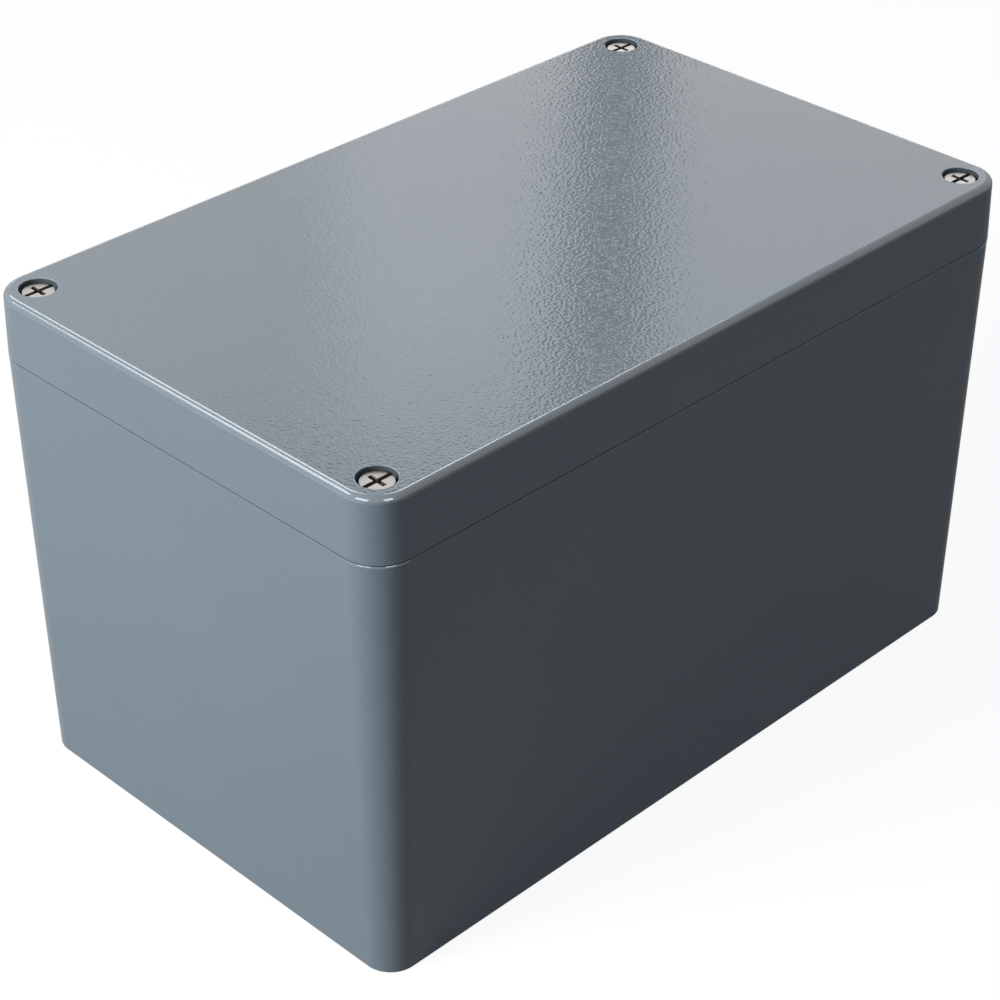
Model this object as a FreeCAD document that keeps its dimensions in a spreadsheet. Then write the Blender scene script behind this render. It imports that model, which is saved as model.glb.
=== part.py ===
import FreeCAD, Part
import math
import os
import Sketcher

# Die cast aluminium box: a deep base casting with four corner blocks, a lid casting with its seal in a
# groove, four captive lid screws, and an earth terminal in each casting.
# The long side runs along X, the width along Y, and the origin is at the middle of the underside.
doc = FreeCAD.newDocument("die_cast_box")

# Driving dimensions: millimetres, and degrees for drafts and turns
SIZES = [
    # Outside form, measured at the plane where base and lid part
    ("length", 260),
    ("width", 160),
    ("base_height", 138.5),
    ("lid_height", 20),
    ("corner_radius", 11.5),
    ("base_draft", 1.0),
    ("lid_draft", 1.2),
    ("rim_step", 0.1),
    ("lid_top_radius", 2.0),
    ("lid_lower_chamfer", 0.25),
    ("base_rim_bevel", 0.45),
    ("base_bottom_bevel", 0.5),
    # Walls and the cross-shaped hollow between the corner blocks
    ("wall", 5.5),
    ("floor_thickness", 5),
    ("lid_thickness", 4),
    ("block_length", 22),
    ("block_width", 37),
    ("block_radius", 8),
    ("hollow_radius", 6),
    ("core_draft", 1.0),
    ("inside_bevel", 2.5),
    # Seal between the tongue on the base and the groove in the lid
    ("tongue_width", 1.8),
    ("tongue_height", 1.5),
    ("seal_width", 3.0),
    ("seal_thickness", 2.4),
    ("seal_clearance", 0.1),
    # Lid screws in the corners
    ("screw_inset", 10.5),
    ("recess_diameter", 11),
    ("recess_depth", 5.5),
    ("recess_chamfer", 0.4),
    ("head_diameter", 9.4),
    ("head_height", 4.4),
    ("head_chamfer", 0.3),
    ("thread_diameter", 6),
    ("thread_pitch", 1),
    ("thread_clearance", 0.05),
    ("thread_length", 17),
    ("shank_diameter", 4.6),
    ("screw_length", 35),
    ("lid_hole_diameter", 6.6),
    ("tapped_depth", 26),
    ("slot_width", 1.6),
    ("slot_depth", 1.8),
    ("cross_length", 6),
    ("cross_depth", 2.6),
    ("drive_turn", -1),
    # Rings that keep the screws in the lid when it is off
    ("ring_diameter", 10.4),
    ("ring_thickness", 1.2),
    ("ring_pocket_depth", 1.6),
    ("ring_clearance", 0.15),
    # Channels in the corner blocks for the screws that hold the base to a wall
    ("fixing_inset_x", 10),
    ("fixing_inset_y", 25),
    ("fixing_hole_diameter", 6.6),
    ("fixing_seat_height", 8),
    ("channel_diameter", 12),
    # Bosses on the floor for a mounting plate
    ("plate_inset_x", 35),
    ("plate_inset_y", 30),
    ("boss_diameter", 12),
    ("boss_height", 6),
    ("plate_hole_diameter", 4.2),
    ("plate_hole_depth", 8),
    # Earth terminals
    ("earth_inset", 16.5),
    ("earth_boss_diameter", 13),
    ("earth_boss_height", 9),
    ("earth_hole_depth", 10.5),
    ("earth_clamp_width", 11.5),
    ("earth_clamp_thickness", 1.5),
    ("earth_washer_diameter", 10.6),
    ("earth_washer_thickness", 1.6),
    ("earth_washer_gap", 1.2),
    ("earth_screw_length", 12),
    ("earth_hole_clearance", 0.2),
]

sheet = doc.addObject("Spreadsheet::Sheet", "Sizes")
for row, (alias, value) in enumerate(SIZES, start=1):
    sheet.set(f"A{row}", alias)
    sheet.set(f"B{row}", str(value))
    sheet.setAlias(f"B{row}", alias)
doc.recompute()

# Sizes that follow from the driving dimensions, as expressions
NAMES = {alias for alias, _ in SIZES}


def sized(text):
    """Put the sheet's name in front of each alias in an expression."""
    words = []
    for word in text.replace("(", "( ").replace(")", " )").split():
        words.append("Sizes." + word if word in NAMES else word)
    return " ".join(words)


def value(text):
    """Work out an expression of named sizes as a plain number."""
    return float(sheet.evalExpression(sized(text)))


def bind(item, prop, text):
    """Tie a property of an object to an expression of named sizes."""
    item.setExpression(prop, sized(text))


THREAD = "thread_diameter - 0.6495 * thread_pitch"
SEAL_MIDDLE = "wall / 2"
SCREW_X = "length / 2 - screw_inset"
SCREW_Y = "width / 2 - screw_inset"
FIXING_X = "length / 2 - fixing_inset_x"
FIXING_Y = "width / 2 - fixing_inset_y"
PLATE_X = "length / 2 - plate_inset_x"
PLATE_Y = "width / 2 - plate_inset_y"
EARTH_X = "length / 2 - earth_inset"
HEAD_SEAT = "base_height + lid_height - recess_depth"


def new_body(name):
    """Start one piece of the box."""
    body = doc.addObject("PartDesign::Body", name)
    body.Label = name
    return body


def new_sketch(body, name, role="XY_Plane", height="0"):
    """Attach a sketch to one of the body's own planes, at a height above it."""
    plane = [item for item in body.Origin.OriginFeatures if item.Role == role][0]
    sketch = body.newObject("Sketcher::SketchObject", name)
    sketch.AttachmentSupport = [(plane, "")]
    sketch.MapMode = "FlatFace"
    bind(sketch, "AttachmentOffset.Base.z", height)
    return sketch


def constrain(sketch, kind, places, text):
    """Add one dimension to a sketch and tie it to an expression of named sizes."""
    number = value(text)
    index = sketch.addConstraint(Sketcher.Constraint(kind, *places, number))
    bind(sketch, f"Constraints[{index}]", text)


def rounded_outline(sketch, corners):
    """Draw a closed outline of level and upright sides with rounded corners.

    Each corner gives its side of the middle and its distance from it along x and y, and its radius.
    """
    spots = [(sx * value(x), sy * value(y)) for sx, x, sy, y, _ in corners]
    count = len(corners)
    arcs = []
    for i, here in enumerate(spots):
        before = FreeCAD.Vector(*spots[i - 1], 0)
        after = FreeCAD.Vector(*spots[(i + 1) % count], 0)
        corner = FreeCAD.Vector(*here, 0)
        radius = value(corners[i][4])
        inward = (corner - before).normalize()
        outward = (after - corner).normalize()
        centre = corner - inward * radius + outward * radius
        start = corner - inward * radius - centre
        end = corner + outward * radius - centre
        left_turn = inward.cross(outward).z > 0
        first, last = (start, end) if left_turn else (end, start)
        angle = math.atan2(first.y, first.x)
        circle = Part.Circle(centre, FreeCAD.Vector(0, 0, 1), radius)
        arc = sketch.addGeometry(Part.ArcOfCircle(circle, angle, angle + math.pi / 2), False)
        arcs.append((arc, centre + start, centre + end, left_turn))
    for i in range(count):
        arc, _, start, left_turn = arcs[i]
        next_arc, end, _, next_left_turn = arcs[(i + 1) % count]
        side = sketch.addGeometry(Part.LineSegment(start, end), False)
        level = abs(start.y - end.y) < abs(start.x - end.x)
        sketch.addConstraint(Sketcher.Constraint("Horizontal" if level else "Vertical", side))
        sketch.addConstraint(Sketcher.Constraint("Tangent", arc, 2 if left_turn else 1, side, 1))
        sketch.addConstraint(Sketcher.Constraint("Tangent", side, 2, next_arc, 1 if next_left_turn else 2))
        sign_x, x, sign_y, y, radius = corners[i]
        kind, sign, distance = ("DistanceY", sign_y, y) if level else ("DistanceX", sign_x, x)
        places = (-1, 1, side, 1) if sign > 0 else (side, 1, -1, 1)
        constrain(sketch, kind, places, distance)
        constrain(sketch, "Radius", (arc,), radius)


def rectangle(half_x, half_y, radius):
    """Corners of a rounded rectangle about the middle."""
    return [(sx, half_x, sy, half_y, radius) for sx, sy in ((1, 1), (-1, 1), (-1, -1), (1, -1))]


def cross(offset):
    """Corners of the cross-shaped hollow, moved outwards by an offset."""
    offset = f"({offset})"
    end = f"length / 2 - wall + {offset}"
    side = f"width / 2 - wall + {offset}"
    block_x = f"length / 2 - block_length + {offset}"
    block_y = f"width / 2 - block_width + {offset}"
    outer = f"hollow_radius + {offset}"
    inner = f"block_radius - {offset}"
    quarter = [(end, block_y, outer), (block_x, block_y, inner), (block_x, side, outer)]
    corners = []
    for sx, sy in ((1, 1), (-1, 1), (-1, -1), (1, -1)):
        turned = quarter if sx * sy > 0 else quarter[::-1]
        corners += [(sx, x, sy, y, radius) for x, y, radius in turned]
    return corners


def circles(sketch, spots, diameter):
    """Draw circles: each spot gives its side of the middle and its distance from it along x and y."""
    for sx, x, sy, y in spots:
        centre = FreeCAD.Vector(sx * value(x), sy * value(y), 0)
        circle = Part.Circle(centre, FreeCAD.Vector(0, 0, 1), value(diameter) / 2)
        ring = sketch.addGeometry(circle, False)
        for kind, sign, distance in (("DistanceX", sx, x), ("DistanceY", sy, y)):
            if sign:
                places = (-1, 1, ring, 3) if sign > 0 else (ring, 3, -1, 1)
                constrain(sketch, kind, places, distance)
            else:
                axis = -2 if kind == "DistanceX" else -1
                sketch.addConstraint(Sketcher.Constraint("PointOnObject", ring, 3, axis))
        constrain(sketch, "Diameter", (ring,), diameter)


def four(x, y):
    """Four spots at the corners of a rectangle about the middle."""
    return [(sx, x, sy, y) for sx, sy in ((1, 1), (-1, 1), (-1, -1), (1, -1))]


def profile(sketch, points):
    """Draw a closed outline of straight sides through points given as two distances from the origin."""
    spots = [FreeCAD.Vector(value(x), value(y), 0) for x, y in points]
    count = len(points)
    sides = []
    for i in range(count):
        sides.append(sketch.addGeometry(Part.LineSegment(spots[i], spots[(i + 1) % count]), False))
    for i, side in enumerate(sides):
        sketch.addConstraint(Sketcher.Constraint("Coincident", side, 2, sides[(i + 1) % count], 1))
    for side, (x, y) in zip(sides, points):
        for kind, distance, axis in (("DistanceX", x, -2), ("DistanceY", y, -1)):
            if distance == "0":
                sketch.addConstraint(Sketcher.Constraint("PointOnObject", side, 1, axis))
            else:
                constrain(sketch, kind, (-1, 1, side, 1), distance)


def box_sketch(sketch, half_x, half_y):
    """Draw a sharp rectangle about the origin."""
    hx, hy = value(half_x), value(half_y)
    spots = [FreeCAD.Vector(sx * hx, sy * hy, 0) for sx, sy in ((1, 1), (-1, 1), (-1, -1), (1, -1))]
    sides = []
    for i in range(4):
        sides.append(sketch.addGeometry(Part.LineSegment(spots[i], spots[(i + 1) % 4]), False))
    for i, side in enumerate(sides):
        sketch.addConstraint(Sketcher.Constraint("Coincident", side, 2, sides[(i + 1) % 4], 1))
        sketch.addConstraint(Sketcher.Constraint("Vertical" if i % 2 else "Horizontal", side))
    sketch.addConstraint(Sketcher.Constraint("Symmetric", sides[0], 1, sides[2], 1, -1, 1))
    constrain(sketch, "DistanceX", (sides[0], 2, sides[0], 1), f"2 * ({half_x})")
    constrain(sketch, "DistanceY", (sides[1], 2, sides[1], 1), f"2 * ({half_y})")


def pad(body, name, sketch, length, down=False, draft="0"):
    """Raise a sketch into a solid; a draft above nought makes it narrower away from the sketch."""
    feature = body.newObject("PartDesign::Pad", name)
    feature.Profile = sketch
    feature.Reversed = down
    bind(feature, "Length", length)
    bind(feature, "TaperAngle", f"-1 * ({draft})")
    doc.recompute()
    return feature


def pocket(body, name, sketch, depth, up=False, draft="0"):
    """Cut a sketch downwards, or upwards; a draft above nought narrows the cut away from the sketch."""
    before = body.Tip.Shape.Volume
    feature = body.newObject("PartDesign::Pocket", name)
    feature.Profile = sketch
    feature.Reversed = up
    bind(feature, "Length", depth)
    bind(feature, "TaperAngle", f"-1 * ({draft})")
    doc.recompute()
    if not feature.Shape.Volume < before:
        raise SystemExit(f"{name} cuts nothing")
    return feature


def revolve(body, name, sketch):
    """Turn a sketch on the XZ plane about the upright axis."""
    feature = body.newObject("PartDesign::Revolution", name)
    feature.Profile = sketch
    feature.ReferenceAxis = (sketch, ["V_Axis"])
    feature.Angle = 360
    doc.recompute()
    return feature


def edges_at(shape, height, keep=lambda edge: True):
    """Names of the level edges of a shape at a height that a test keeps."""
    names = []
    for number, edge in enumerate(shape.Edges, start=1):
        box = edge.BoundBox
        if abs(box.ZMin - height) < 1e-4 and abs(box.ZMax - height) < 1e-4 and keep(edge):
            names.append(f"Edge{number}")
    return names


def dress_edges(body, kind, name, edges, prop, size):
    """Take the corner off edges of the body's last feature."""
    if not edges:
        raise SystemExit(f"{name} has no edges")
    last = body.Tip
    feature = body.newObject(kind, name)
    feature.Base = (last, edges)
    bind(feature, prop, size)
    doc.recompute()


def fillet(body, name, edges, radius):
    """Round edges of the body's last feature."""
    dress_edges(body, "PartDesign::Fillet", name, edges, "Radius", radius)


def chamfer(body, name, edges, size):
    """Bevel edges of the body's last feature."""
    dress_edges(body, "PartDesign::Chamfer", name, edges, "Size", size)


# Base casting: the outside narrows downwards from the parting plane, and so does the hollow,
# so that the walls keep one thickness and the casting leaves the die
base = new_body("base")
sketch = new_sketch(base, "base_outline", height="base_height")
rounded_outline(sketch, rectangle("length / 2 - rim_step", "width / 2 - rim_step", "corner_radius - rim_step"))
pad(base, "base_block", sketch, "base_height", down=True, draft="base_draft")
chamfer(base, "base_bottom_edge", edges_at(base.Tip.Shape, 0), "base_bottom_bevel")
chamfer(base, "base_rim_edge", edges_at(base.Tip.Shape, value("base_height")), "base_rim_bevel")

sketch = new_sketch(base, "base_hollow_outline", height="base_height")
rounded_outline(sketch, cross("0"))
pocket(base, "base_hollow", sketch, "base_height - floor_thickness", draft="core_draft")
chamfer(base, "base_floor_bevel", edges_at(base.Tip.Shape, value("floor_thickness")), "inside_bevel")

# Tongue round the rim that presses into the seal
sketch = new_sketch(base, "tongue_outline", height="base_height")
rounded_outline(sketch, cross(f"{SEAL_MIDDLE} + tongue_width / 2"))
rounded_outline(sketch, cross(f"{SEAL_MIDDLE} - tongue_width / 2"))
pad(base, "tongue", sketch, "tongue_height")

# Tapped holes for the lid screws, and channels with a seat for the wall screws
sketch = new_sketch(base, "lid_screw_holes_outline", height="base_height")
circles(sketch, four(SCREW_X, SCREW_Y), THREAD)
pocket(base, "lid_screw_holes", sketch, "tapped_depth")
sketch = new_sketch(base, "fixing_channels_outline", height="base_height")
circles(sketch, four(FIXING_X, FIXING_Y), "channel_diameter")
pocket(base, "fixing_channels", sketch, "base_height - fixing_seat_height")
sketch = new_sketch(base, "fixing_holes_outline", height="fixing_seat_height")
circles(sketch, four(FIXING_X, FIXING_Y), "fixing_hole_diameter")
pocket(base, "fixing_holes", sketch, "fixing_seat_height")

# Bosses for a mounting plate, and one boss for the earth terminal
sketch = new_sketch(base, "plate_bosses_outline", height="floor_thickness")
circles(sketch, four(PLATE_X, PLATE_Y), "boss_diameter")
pad(base, "plate_bosses", sketch, "boss_height")
sketch = new_sketch(base, "plate_holes_outline", height="floor_thickness + boss_height")
circles(sketch, four(PLATE_X, PLATE_Y), "plate_hole_diameter")
pocket(base, "plate_holes", sketch, "plate_hole_depth")
sketch = new_sketch(base, "base_earth_boss_outline", height="floor_thickness")
circles(sketch, [(-1, EARTH_X, 0, "0")], "earth_boss_diameter")
pad(base, "base_earth_boss", sketch, "earth_boss_height")
sketch = new_sketch(base, "base_earth_hole_outline", height="floor_thickness + earth_boss_height")
circles(sketch, [(-1, EARTH_X, 0, "0")], THREAD)
pocket(base, "base_earth_hole", sketch, "earth_hole_depth")

# Lid casting: a shallow cap that narrows upwards, with a rounded top edge
lid = new_body("lid")
LID_TOP = "base_height + lid_height"
sketch = new_sketch(lid, "lid_outline", height="base_height")
rounded_outline(sketch, rectangle("length / 2", "width / 2", "corner_radius"))
pad(lid, "lid_block", sketch, "lid_height", draft="lid_draft")
fillet(lid, "lid_top_edge", edges_at(lid.Tip.Shape, value(LID_TOP)), "lid_top_radius")
chamfer(lid, "lid_lower_edge", edges_at(lid.Tip.Shape, value("base_height")), "lid_lower_chamfer")

sketch = new_sketch(lid, "lid_hollow_outline", height="base_height")
rounded_outline(sketch, cross("0"))
pocket(lid, "lid_hollow", sketch, "lid_height - lid_thickness", up=True, draft="core_draft")
inside_top = value("base_height + lid_height - lid_thickness")
chamfer(lid, "lid_inside_bevel", edges_at(lid.Tip.Shape, inside_top), "inside_bevel")

# Groove that holds the seal and takes the tongue
GROOVE_HALF = "(seal_width / 2 + seal_clearance)"
sketch = new_sketch(lid, "groove_outline", height="base_height")
rounded_outline(sketch, cross(f"{SEAL_MIDDLE} + {GROOVE_HALF}"))
rounded_outline(sketch, cross(f"{SEAL_MIDDLE} - {GROOVE_HALF}"))
pocket(lid, "groove", sketch, "tongue_height + seal_thickness", up=True)

# Screw recesses from the top, clearance holes, and pockets for the retaining rings from below
sketch = new_sketch(lid, "recess_outline", height=LID_TOP)
circles(sketch, four(SCREW_X, SCREW_Y), "recess_diameter")
pocket(lid, "recesses", sketch, "recess_depth")
recess_edges = edges_at(
    lid.Tip.Shape,
    value(LID_TOP),
    lambda edge: edge.Curve.TypeId == "Part::GeomCircle"
    and abs(edge.Curve.Radius - value("recess_diameter / 2")) < 1e-4,
)
chamfer(lid, "recess_edges", recess_edges, "recess_chamfer")
sketch = new_sketch(lid, "lid_screw_clearance_outline", height=HEAD_SEAT)
circles(sketch, four(SCREW_X, SCREW_Y), "lid_hole_diameter")
pocket(lid, "lid_screw_clearance", sketch, "lid_height - recess_depth")
sketch = new_sketch(lid, "ring_pockets_outline", height="base_height")
circles(sketch, four(SCREW_X, SCREW_Y), "ring_diameter + 2 * ring_clearance")
pocket(lid, "ring_pockets", sketch, "ring_pocket_depth", up=True)

# Boss for the lid's earth terminal, hanging from the inside of the top
sketch = new_sketch(lid, "lid_earth_boss_outline", height="base_height + lid_height - lid_thickness")
circles(sketch, [(1, EARTH_X, 0, "0")], "earth_boss_diameter")
pad(lid, "lid_earth_boss", sketch, "earth_boss_height", down=True)
LID_EARTH_SEAT = "base_height + lid_height - lid_thickness - earth_boss_height"
sketch = new_sketch(lid, "lid_earth_hole_outline", height=LID_EARTH_SEAT)
circles(sketch, [(1, EARTH_X, 0, "0")], THREAD)
pocket(lid, "lid_earth_hole", sketch, "earth_hole_depth", up=True)

# Seal: a moulded rubber ring in the lid's groove, pressed by the tongue
seal = new_body("lid_seal")
sketch = new_sketch(seal, "seal_outline", height="base_height + tongue_height")
rounded_outline(sketch, cross(f"{SEAL_MIDDLE} + seal_width / 2"))
rounded_outline(sketch, cross(f"{SEAL_MIDDLE} - seal_width / 2"))
pad(seal, "seal_ring", sketch, "seal_thickness")


def screw_body(name, length, shank):
    """A cheese head screw with a slot and a cross in its head; its own origin is at the tip."""
    screw = new_body(name)
    outline = new_sketch(screw, name + "_profile", role="XZ_Plane")
    thread = f"({THREAD}) / 2 - thread_clearance"
    points = [
        ("0", "0"),
        (thread, "0"),
    ]
    if shank:
        points += [
            (thread, "thread_length"),
            ("shank_diameter / 2", "thread_length"),
            ("shank_diameter / 2", length),
        ]
    else:
        points += [(thread, length)]
    points += [
        ("head_diameter / 2", length),
        ("head_diameter / 2", f"{length} + head_height"),
        ("0", f"{length} + head_height"),
    ]
    profile(outline, points)
    revolve(screw, name + "_turned", outline)
    top = value(f"{length} + head_height")
    chamfer(screw, name + "_head_edge", edges_at(screw.Tip.Shape, top), "head_chamfer")
    slot = new_sketch(screw, name + "_slot_outline", height=f"{length} + head_height")
    box_sketch(slot, "head_diameter", "slot_width / 2")
    pocket(screw, name + "_slot", slot, "slot_depth")
    arm = new_sketch(screw, name + "_cross_outline", height=f"{length} + head_height")
    box_sketch(arm, "slot_width / 2", "cross_length / 2")
    pocket(screw, name + "_cross", arm, "cross_depth")
    return screw


def place(body, x, y, z, turn=None, flip=False):
    """Tie a body's place to named sizes; a flipped body hangs head down."""
    bind(body, "Placement.Base.x", x)
    bind(body, "Placement.Base.y", y)
    bind(body, "Placement.Base.z", z)
    if flip:
        body.Placement.Rotation = FreeCAD.Rotation(FreeCAD.Vector(1, 0, 0), 180)
    if turn:
        bind(body, "Placement.Rotation.Angle", turn)


# Lid screws, each with its retaining ring
CORNERS = {"front_left": (-1, -1), "front_right": (1, -1), "back_left": (-1, 1), "back_right": (1, 1)}
for corner, (sx, sy) in CORNERS.items():
    screw = screw_body("lid_screw_" + corner, "screw_length", shank=True)
    x, y = f"{sx} * ({SCREW_X})", f"{sy} * ({SCREW_Y})"
    place(screw, x, y, f"{HEAD_SEAT} - screw_length", turn="drive_turn")

    ring = new_body("screw_ring_" + corner)
    sketch = new_sketch(ring, ring.Label + "_outline")
    circles(sketch, [(0, "0", 0, "0")], "ring_diameter")
    circles(sketch, [(0, "0", 0, "0")], "shank_diameter + 2 * ring_clearance")
    pad(ring, ring.Label + "_disc", sketch, "ring_thickness")
    place(ring, x, y, "base_height + ring_pocket_depth - ring_thickness")

# Earth terminals: a clamp plate, a split spring washer and a screw on each casting's boss
for owner in ("base", "lid"):
    clamp = new_body(owner + "_earth_clamp")
    sketch = new_sketch(clamp, clamp.Label + "_outline")
    box_sketch(sketch, "earth_clamp_width / 2", "earth_clamp_width / 2")
    circles(sketch, [(0, "0", 0, "0")], "thread_diameter + 2 * earth_hole_clearance")
    pad(clamp, clamp.Label + "_plate", sketch, "earth_clamp_thickness")

    washer = new_body(owner + "_earth_spring_washer")
    sketch = new_sketch(washer, washer.Label + "_outline")
    circles(sketch, [(0, "0", 0, "0")], "earth_washer_diameter")
    circles(sketch, [(0, "0", 0, "0")], "thread_diameter + 2 * earth_hole_clearance")
    pad(washer, washer.Label + "_disc", sketch, "earth_washer_thickness")
    sketch = new_sketch(washer, washer.Label + "_split", height="earth_washer_thickness")
    profile(
        sketch,
        [
            ("0", "0"),
            ("earth_washer_diameter", "0"),
            ("earth_washer_diameter", "earth_washer_gap"),
            ("0", "earth_washer_gap"),
        ],
    )
    pocket(washer, washer.Label + "_gap", sketch, "earth_washer_thickness")

    screw = screw_body(owner + "_earth_screw", "earth_screw_length", shank=False)
    stack = "earth_clamp_thickness + earth_washer_thickness"
    if owner == "base":
        foot = "floor_thickness + earth_boss_height"
        place(clamp, f"-1 * ({EARTH_X})", "0", foot)
        place(washer, f"-1 * ({EARTH_X})", "0", f"{foot} + earth_clamp_thickness")
        place(screw, f"-1 * ({EARTH_X})", "0", f"{foot} + {stack} - earth_screw_length")
    else:
        foot = LID_EARTH_SEAT
        place(clamp, EARTH_X, "0", foot, flip=True)
        place(washer, EARTH_X, "0", f"{foot} - earth_clamp_thickness", flip=True)
        place(screw, EARTH_X, "0", f"{foot} - ({stack}) + earth_screw_length", flip=True)

doc.recompute()

# Check every object and every piece before anything is written
for item in doc.Objects:
    if {"Invalid", "Error"} & set(item.State):
        raise SystemExit(f"{item.Name} failed: {item.State}")
    if item.TypeId == "Sketcher::SketchObject" and not item.FullyConstrained:
        raise SystemExit(f"{item.Name} is not fully constrained")
pieces = [item for item in doc.Objects if item.TypeId == "PartDesign::Body"]
for piece in pieces:
    if piece.Shape.isNull() or not piece.Shape.isValid() or len(piece.Shape.Solids) != 1:
        raise SystemExit(f"{piece.Label} is not one sound solid")

os.makedirs("parts", exist_ok=True)
for piece in pieces:
    piece.Shape.exportStep(f"parts/{piece.Label}.step")
    print(piece.Label, round(piece.Shape.Volume, 1), "mm3")
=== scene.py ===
import math

import bmesh
import bpy
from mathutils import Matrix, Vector


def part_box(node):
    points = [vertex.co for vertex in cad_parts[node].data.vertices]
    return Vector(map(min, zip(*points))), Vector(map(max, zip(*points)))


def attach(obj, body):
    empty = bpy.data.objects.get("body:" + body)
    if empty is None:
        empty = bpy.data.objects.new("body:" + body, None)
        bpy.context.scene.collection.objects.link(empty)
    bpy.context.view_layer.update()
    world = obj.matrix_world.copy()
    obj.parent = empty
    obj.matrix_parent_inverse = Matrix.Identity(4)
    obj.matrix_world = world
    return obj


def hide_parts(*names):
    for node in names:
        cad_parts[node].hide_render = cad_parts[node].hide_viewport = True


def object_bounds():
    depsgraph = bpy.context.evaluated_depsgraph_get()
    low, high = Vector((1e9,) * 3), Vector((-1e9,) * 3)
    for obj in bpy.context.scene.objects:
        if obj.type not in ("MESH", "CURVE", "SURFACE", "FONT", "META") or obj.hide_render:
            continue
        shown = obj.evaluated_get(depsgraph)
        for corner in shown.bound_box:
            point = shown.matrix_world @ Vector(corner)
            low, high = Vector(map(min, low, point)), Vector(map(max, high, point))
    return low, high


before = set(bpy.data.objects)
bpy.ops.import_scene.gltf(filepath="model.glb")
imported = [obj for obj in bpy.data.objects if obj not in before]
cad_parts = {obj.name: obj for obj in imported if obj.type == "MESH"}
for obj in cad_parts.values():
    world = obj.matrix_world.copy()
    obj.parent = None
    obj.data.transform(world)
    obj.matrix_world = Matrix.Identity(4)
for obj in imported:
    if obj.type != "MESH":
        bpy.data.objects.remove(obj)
cad_low, cad_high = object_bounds()

# Base casting: a deep tray of die cast aluminium, powder coated silver grey, with four corner blocks.
# The outside narrows downwards and so does the hollow, so that the casting leaves the die. Wall screws
# go down the channels in its corner blocks, and a tongue round the rim presses the seal.
base_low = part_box("base")[0]
lid_low, lid_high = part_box("lid")
PARTING = lid_low.z
HALF_LENGTH = lid_high.x
HALF_WIDTH = lid_high.y
# The outside: a thin dark groove runs round under the lid, with a rounded edge below it
CORNER_RADIUS = 0.0115
BASE_DRAFT = math.radians(1.0)
RIM_STEP = 0.0001
RIM_EDGE_RADIUS = 0.0008
RIM_EDGE_SWEEP = math.radians(40)
RIM_GROOVE_HEIGHT = 0.0004
RIM_GROOVE_DEPTH = 0.0008
FOOT_EDGE_RADIUS = 0.0006
# The hollow and the corner blocks
WALL = 0.0055
FLOOR_THICKNESS = 0.005
BLOCK_LENGTH = 0.022
BLOCK_WIDTH = 0.037
BLOCK_RADIUS = 0.008
HOLLOW_RADIUS = 0.006
CORE_DRAFT = math.radians(1.0)
INSIDE_RADIUS = 0.0025
# The tongue, and the holes for the lid screws and the wall screws
TONGUE_WIDTH = 0.0018
TONGUE_HEIGHT = 0.0015
SCREW_X = HALF_LENGTH - 0.0105
SCREW_Y = HALF_WIDTH - 0.0105
THREAD_RADIUS = 0.002675
TAPPED_DEPTH = 0.026
FIXING_X = HALF_LENGTH - 0.010
FIXING_Y = HALF_WIDTH - 0.025
CHANNEL_RADIUS = 0.006
FIXING_HOLE_RADIUS = 0.0033
FIXING_SEAT = 0.008
# Bosses on the floor for a mounting plate and for the earth screw
PLATE_X = HALF_LENGTH - 0.035
PLATE_Y = HALF_WIDTH - 0.030
BOSS_RADIUS = 0.006
BOSS_HEIGHT = 0.006
PLATE_HOLE_RADIUS = 0.0021
PLATE_HOLE_DEPTH = 0.008
EARTH_X = HALF_LENGTH - 0.0165
EARTH_BOSS_RADIUS = 0.0065
EARTH_BOSS_HEIGHT = 0.009
EARTH_HOLE_DEPTH = 0.0105
# How far a cutter reaches past the face that it cuts, and how finely roundings and circles are drawn
OVERCUT = 0.001
ARC_STEPS = 12
CIRCLE_STEPS = 72
SHARP_OVER = math.radians(32)
WELD_DISTANCE = 1e-7
FLAT_FACE_WEIGHT = 100
SIDES = ((1, 1), (-1, 1), (-1, -1), (1, -1))


def outline(corners, height):
    """Points of a level outline through rounded corners (x, y, radius), anticlockwise from above."""
    points = []
    for i, (x, y, radius) in enumerate(corners):
        corner = Vector((x, y, height))
        back = (Vector((*corners[i - 1][:2], height)) - corner).normalized()
        ahead = (Vector((*corners[(i + 1) % len(corners)][:2], height)) - corner).normalized()
        for step in range(ARC_STEPS + 1):
            turn = math.pi / 2 * step / ARC_STEPS
            along = ahead * (1 - math.cos(turn)) + back * (1 - math.sin(turn))
            points.append(corner + along * radius)
    return points


def rectangle(inset, height):
    """The box's outline, moved inwards by an inset."""
    corners = []
    for sx, sy in SIDES:
        corners.append((sx * (HALF_LENGTH - inset), sy * (HALF_WIDTH - inset), CORNER_RADIUS - inset))
    return outline(corners, height)


def cross(inset, height):
    """The outline of the hollow between the corner blocks, moved inwards by an inset."""
    end, side = HALF_LENGTH - WALL - inset, HALF_WIDTH - WALL - inset
    block_x, block_y = HALF_LENGTH - BLOCK_LENGTH - inset, HALF_WIDTH - BLOCK_WIDTH - inset
    outer, inner = HOLLOW_RADIUS - inset, BLOCK_RADIUS + inset
    quarter = [(end, block_y, outer), (block_x, block_y, inner), (block_x, side, outer)]
    corners = []
    for sx, sy in SIDES:
        in_order = quarter if sx * sy > 0 else quarter[::-1]
        corners += [(sx * x, sy * y, radius) for x, y, radius in in_order]
    return outline(corners, height)


def circle(x, y, radius, height):
    """Points of a level circle."""
    turns = [2 * math.pi * step / CIRCLE_STEPS for step in range(CIRCLE_STEPS)]
    return [Vector((x + radius * math.cos(t), y + radius * math.sin(t), height)) for t in turns]


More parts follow.
